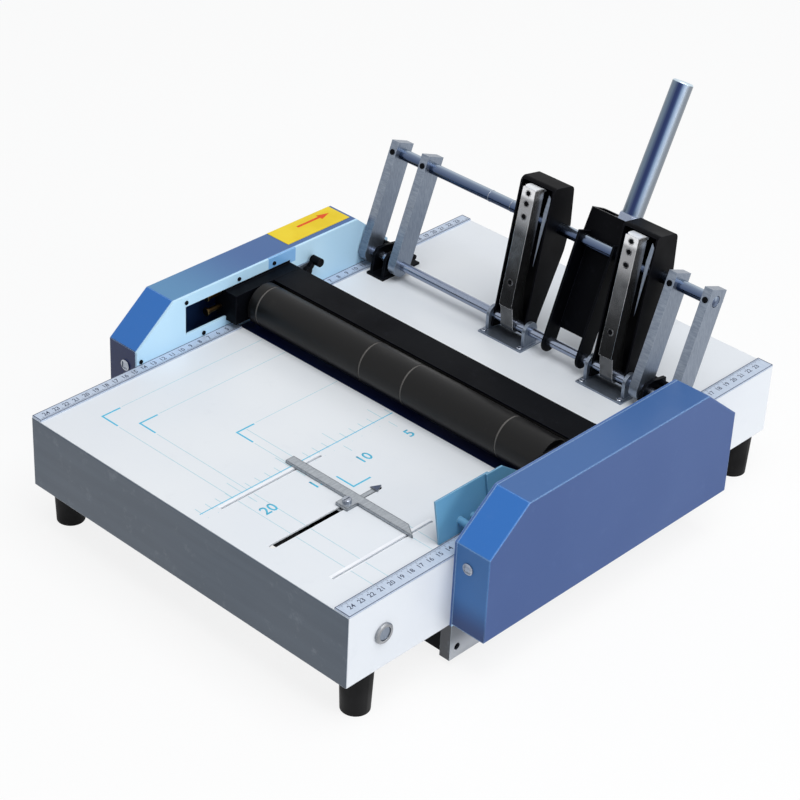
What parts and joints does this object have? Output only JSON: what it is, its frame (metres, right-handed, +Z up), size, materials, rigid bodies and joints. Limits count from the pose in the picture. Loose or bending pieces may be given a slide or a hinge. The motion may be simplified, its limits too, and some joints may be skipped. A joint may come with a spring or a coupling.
{
  "type": "saddle stitching machine",
  "caption": "Table-top saddle stapler and paper folder with a lever frame, two stapler heads, fold rollers, a printed table and a paper stop.",
  "frame": {"origin": "middle of the footprint, on the surface under the rubber feet", "axes": "+X to the right along the fold line, +Y to the rear, +Z up"},
  "size_m": [0.4142, 0.4946, 0.3253],
  "materials": {
    "white_paint": "smooth white powder coat",
    "blue_paint": "smooth blue enamel",
    "light_blue_paint": "smooth pale blue enamel",
    "black_paint": "satin black coat",
    "steel": "ground steel",
    "chrome": "polished chrome",
    "brass": "turned brass",
    "roller_rubber": "ground rubber",
    "foot_rubber": "moulded rubber",
    "black_plastic": "fine matte grain",
    "board_plastic": "coated board",
    "label_plastic": "printed foil"
  },
  "bodies": {
    "chassis": {"front_table": "white_paint", "rear_table": "white_paint", "bed_plate": "black_paint", "table_rulers": "steel", "left_side_plate": "light_blue_paint", "right_side_plate": "light_blue_paint", "left_cover": "blue_paint", "right_cover": "blue_paint", "chassis_screws": "steel", "right_paper_guide": "blue_paint", "direction_label": "label_plastic", "rubber_feet": "foot_rubber", "cross_bars": "steel", "bottom_pan": "black_paint", "pivot_brackets": "steel", "stapler_bases": "steel", "staple_anvils": "steel", "gear_motor": "steel", "control_board": "board_plastic", "button_bezel": "chrome", "power_inlet": "black_plastic", "knife_brackets": "steel", "solenoid_coil": "black_plastic"},
    "carriage": {"left_bearing_block": "black_paint", "right_bearing_block": "black_paint", "sliding_guide": "blue_paint", "roller_bearings": "brass", "roller_guard": "black_paint", "nip_screws": "brass", "latch_bracket": "light_blue_paint", "carriage_rack": "steel"},
    "latch": {"latch_lever": "black_plastic"},
    "front_roll": {"front_roller": "roller_rubber", "front_roller_shaft": "steel", "front_roller_gear": "steel"},
    "rear_roll": {"rear_roller": "roller_rubber", "rear_roller_shaft": "steel", "rear_roller_gear": "steel"},
    "drive": {"drive_gear": "steel"},
    "idler": {"idler_gear": "steel"},
    "lever": {"outer_lever_bars": "steel", "inner_lever_bars": "steel", "bar_set_screws": "chrome", "cross_rod": "chrome", "pivot_shaft": "steel", "lever_pinion": "steel", "lever_arm": "black_paint", "lever_block": "black_paint", "handle_collar": "chrome", "handle_tube": "chrome", "left_stapler_body": "black_paint", "right_stapler_body": "black_paint"},
    "left_head": {"left_magazine": "chrome"},
    "right_head": {"right_magazine": "chrome"},
    "stop": {"stop_bar": "steel"},
    "stop_screw": {"stop_clamp_screw": "chrome"},
    "button": {"start_button": "steel"},
    "knife": {"fold_knife": "steel"},
    "rocker": {"knife_rocker": "steel"},
    "plunger": {"solenoid_plunger": "steel"}
  },
  "joints": [
    {"name": "lever_swing", "type": "hinge", "parent": "chassis", "child": "lever", "pos_m": [0, 0.12125, 0.114], "axis": [1, 0, 0], "range_deg": [0, 100]},
    {"name": "carriage_slide", "type": "slide", "parent": "chassis", "child": "carriage", "axis": [0, -1, 0], "range_m": [0, 0.0437]},
    {"name": "idler_turn", "type": "hinge", "parent": "chassis", "child": "idler", "pos_m": [0, 0.09975, 0.114], "axis": [1, 0, 0], "range_deg": [-139, 0]},
    {"name": "front_roller_turn", "type": "hinge", "parent": "carriage", "child": "front_roll", "pos_m": [0, -0.01515, 0.1185], "axis": [1, 0, 0], "continuous": true},
    {"name": "rear_roller_turn", "type": "hinge", "parent": "carriage", "child": "rear_roll", "pos_m": [0, 0.01535, 0.1185], "axis": [1, 0, 0], "continuous": true},
    {"name": "drive_gear_turn", "type": "hinge", "parent": "chassis", "child": "drive", "pos_m": [0, 0.04235, 0.1185], "axis": [1, 0, 0], "continuous": true},
    {"name": "left_magazine_press", "type": "hinge", "parent": "lever", "child": "left_head", "pos_m": [-0.0039, 0.12125, 0.114], "axis": [1, 0, 0], "range_deg": [-4.5, 0], "stiffness_Nm_per_rad": 3, "springref_deg": 3.44},
    {"name": "right_magazine_press", "type": "hinge", "parent": "lever", "child": "right_head", "pos_m": [0.1025, 0.12125, 0.114], "axis": [1, 0, 0], "range_deg": [-4.5, 0], "stiffness_Nm_per_rad": 3, "springref_deg": 3.44},
    {"name": "stop_slide", "type": "slide", "parent": "chassis", "child": "stop", "axis": [0, -1, 0], "range_m": [0, 0.075]},
    {"name": "stop_screw_turn", "type": "hinge", "parent": "stop", "child": "stop_screw", "pos_m": [0.0756, -0.1509, 0.1], "axis": [0, 0, 1], "range_deg": [0, 180]},
    {"name": "latch_turn", "type": "hinge", "parent": "carriage", "child": "latch", "pos_m": [-0.171, 0.04595, 0.1205], "axis": [1, 0, 0], "range_deg": [0, 40]},
    {"name": "button_press", "type": "slide", "parent": "chassis", "child": "button", "axis": [-1, 0, 0], "range_m": [0, 0.003], "stiffness_N_per_m": 250, "springref_m": -0.002},
    {"name": "rocker_turn", "type": "hinge", "parent": "chassis", "child": "rocker", "pos_m": [0, 0.03325, 0.0637], "axis": [-1, 0, 0], "range_deg": [0, 26.98]},
    {"name": "knife_lift", "type": "slide", "parent": "chassis", "child": "knife", "axis": [0, 0, 1], "range_m": [0, 0.014]},
    {"name": "plunger_slide", "type": "slide", "parent": "chassis", "child": "plunger", "axis": [0, 0, -1], "range_m": [0, 0.00934]}
  ],
  "couplings": [
    {"joint": "carriage_slide", "follows": "lever_swing", "m_per_rad": 0.025},
    {"joint": "idler_turn", "follows": "lever_swing", "ratio": -1.3889},
    {"joint": "rear_roller_turn", "follows": "front_roller_turn", "ratio": -1.5417},
    {"joint": "drive_gear_turn", "follows": "front_roller_turn", "ratio": 1.2333},
    {"joint": "knife_lift", "follows": "rocker_turn", "m_per_rad": 0.029723},
    {"joint": "plunger_slide", "follows": "rocker_turn", "m_per_rad": 0.019816}
  ]
}
